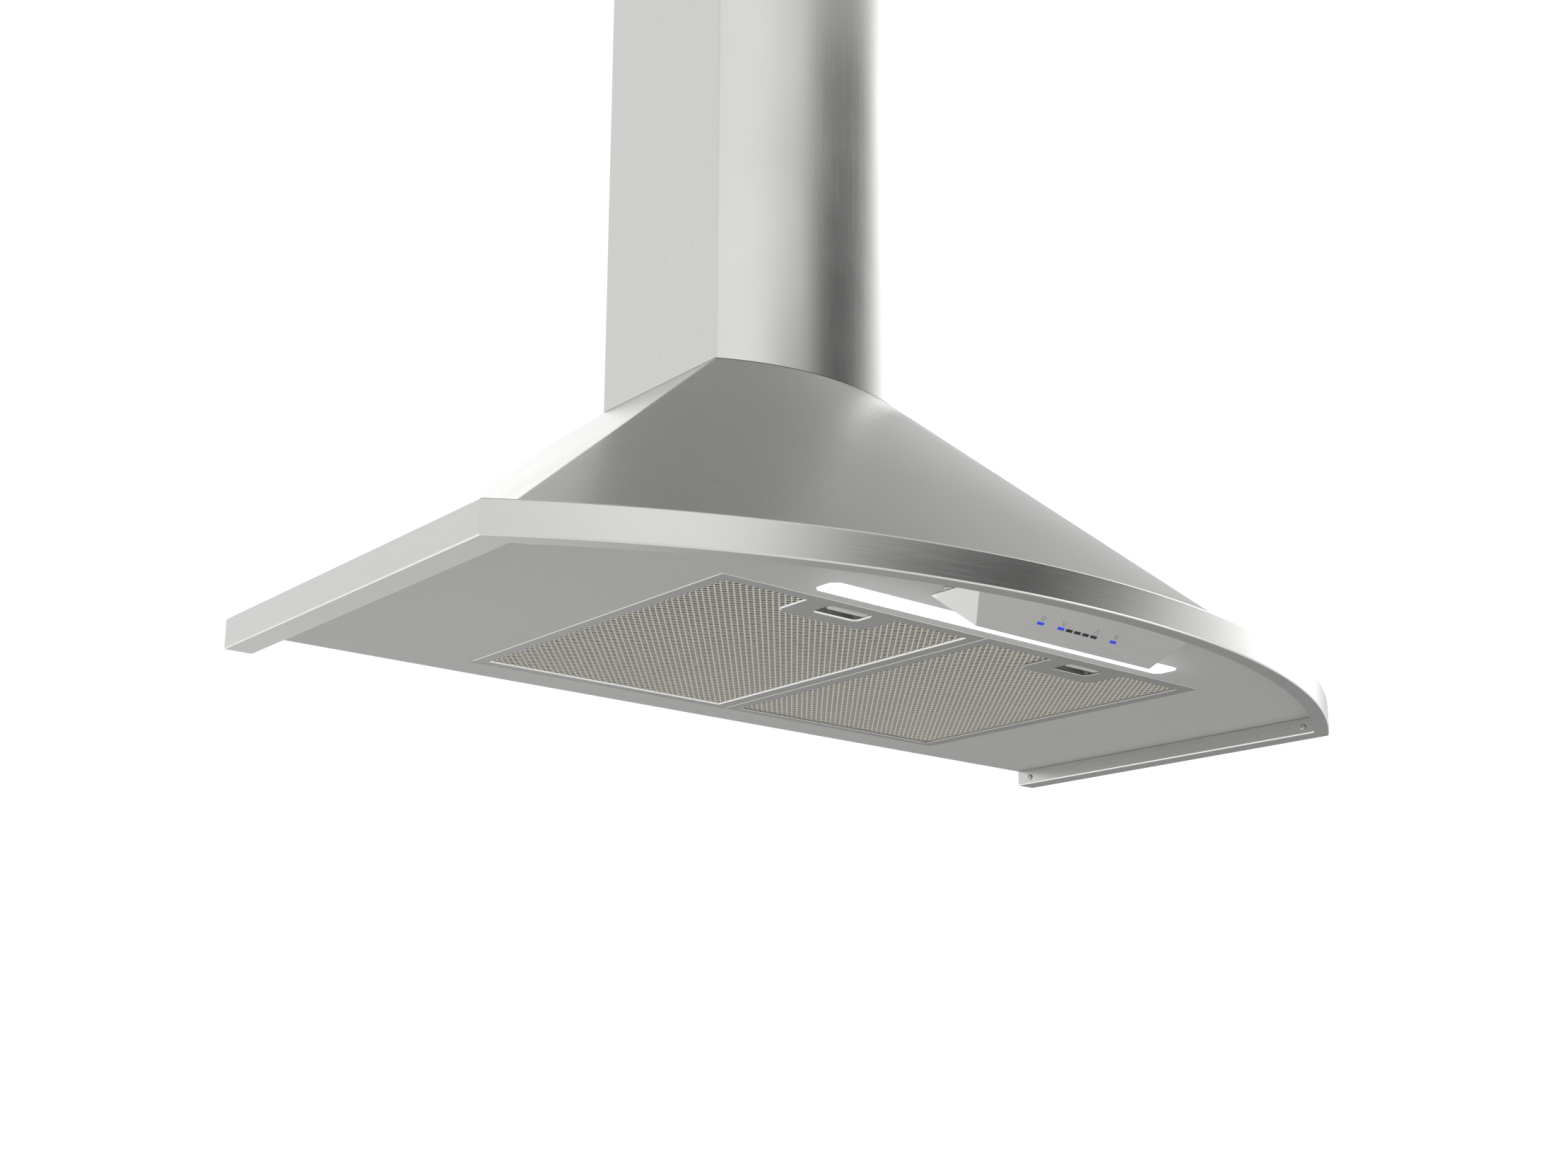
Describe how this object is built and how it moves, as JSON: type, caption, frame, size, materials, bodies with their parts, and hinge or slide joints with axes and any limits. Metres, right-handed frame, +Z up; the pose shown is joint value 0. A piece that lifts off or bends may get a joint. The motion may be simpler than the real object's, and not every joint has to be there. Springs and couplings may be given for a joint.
{
  "type": "wall chimney range hood",
  "caption": "Wall-mounted chimney range hood with a bowed front, sloping canopy, thin rim band, lift-down grease filters, light bar and touch controls.",
  "frame": {"origin": "on the wall plane, at mid width, at the height of the back sheet's face midway between the canopy's foot and head", "axes": "+X across the hood to the viewer's right, -Y out of the wall to the bowed front, +Z up"},
  "size_m": [0.9, 0.4964, 0.746],
  "materials": {
    "brushed_steel": "fine brushed stainless steel",
    "panel_steel": "dull satin stainless steel",
    "filter_aluminium": "mill-finish aluminium frame and pressed mesh",
    "galvanised_sheet": "galvanised steel sheet",
    "black_plastic": "black moulded plastic",
    "grey_plastic": "grey moulded plastic",
    "blue_bar": "lit blue indicator window",
    "dark_bar": "unlit black indicator window",
    "opal_lens": "lit opal diffuser",
    "circuit_board": "green solder-masked board",
    "motor_steel": "dark laminated motor body",
    "screw_steel": "plated steel"
  },
  "bodies": {
    "hood": {"rim_band": "brushed_steel", "canopy_shell": "brushed_steel", "canopy_top_deck": "galvanised_sheet", "back_plate": "galvanised_sheet", "underside_panel": "panel_steel", "filter_bay_frame": "galvanised_sheet", "hanger_plate_left": "galvanised_sheet", "hanger_plate_right": "galvanised_sheet", "blower_bracket_left": "galvanised_sheet", "blower_bracket_right": "galvanised_sheet", "scroll_half_left": "galvanised_sheet", "scroll_half_right": "galvanised_sheet", "control_screw_left": "screw_steel", "control_screw_right": "screw_steel", "rim_screw_left_front": "screw_steel", "rim_screw_left_rear": "screw_steel", "rim_screw_right_front": "screw_steel", "rim_screw_right_rear": "screw_steel", "light_lens": "opal_lens", "light_tray": "galvanised_sheet", "led_strip": "circuit_board", "light_driver": "black_plastic", "control_housing": "brushed_steel", "control_board": "circuit_board", "power_indicator": "blue_bar", "fan_bar_1": "blue_bar", "fan_bar_2": "dark_bar", "fan_bar_3": "dark_bar", "fan_bar_4": "dark_bar", "fan_bar_5": "dark_bar", "light_indicator": "blue_bar", "motor_bracket": "galvanised_sheet", "inlet_ring": "black_plastic", "motor_body": "motor_steel", "motor_capacitor": "grey_plastic", "outlet_collar": "black_plastic", "damper_pin": "screw_steel", "lower_duct_cover": "brushed_steel", "cover_bracket": "galvanised_sheet", "junction_box": "black_plastic", "junction_cover": "black_plastic", "cable_gland": "black_plastic"},
    "fan_rotor": {"impeller": "galvanised_sheet", "motor_shaft": "screw_steel"},
    "damper_front": {"damper_flap_front": "black_plastic"},
    "damper_rear": {"damper_flap_rear": "black_plastic"},
    "filter_left": {"filter_frame_left": "filter_aluminium", "filter_pack_left": "filter_aluminium"},
    "filter_right": {"filter_frame_right": "filter_aluminium", "filter_pack_right": "filter_aluminium"},
    "latch_left": {"latch_pull_left": "filter_aluminium", "latch_tongue_left": "screw_steel"},
    "latch_right": {"latch_pull_right": "filter_aluminium", "latch_tongue_right": "screw_steel"},
    "upper_cover": {"upper_duct_cover": "brushed_steel"}
  },
  "joints": [
    {"name": "fan_spin", "type": "hinge", "parent": "hood", "child": "fan_rotor", "pos_m": [0, -0.086, -0.05], "axis": [1, 0, 0], "continuous": true},
    {"name": "damper_rear_swing", "type": "hinge", "parent": "hood", "child": "damper_rear", "pos_m": [0, -0.104, 0.0895], "axis": [1, 0, 0], "range_deg": [0, 75]},
    {"name": "damper_front_swing", "type": "hinge", "parent": "hood", "child": "damper_front", "pos_m": [0, -0.104, 0.0895], "axis": [1, 0, 0], "range_deg": [-75, 0]},
    {"name": "filter_left_tilt", "type": "hinge", "parent": "hood", "child": "filter_left", "pos_m": [-0.13005, -0.0351, -0.185], "axis": [1, 0, 0], "range_deg": [0, 75], "deforming": ["latch_tongue_left"]},
    {"name": "filter_right_tilt", "type": "hinge", "parent": "hood", "child": "filter_right", "pos_m": [0.13005, -0.0351, -0.185], "axis": [1, 0, 0], "range_deg": [0, 75], "deforming": ["latch_tongue_right"]},
    {"name": "latch_left_slide", "type": "slide", "parent": "filter_left", "child": "latch_left", "axis": [0, 1, 0], "range_m": [0, 0.008], "stiffness_N_per_m": 150, "springref_m": -0.004},
    {"name": "latch_right_slide", "type": "slide", "parent": "filter_right", "child": "latch_right", "axis": [0, 1, 0], "range_m": [0, 0.008], "stiffness_N_per_m": 150, "springref_m": -0.004},
    {"name": "cover_slide", "type": "slide", "parent": "hood", "child": "upper_cover", "axis": [0, 0, 1], "range_m": [0, 0.35]}
  ],
  "couplings": [
    {"joint": "damper_front_swing", "follows": "damper_rear_swing", "ratio": -1}
  ]
}
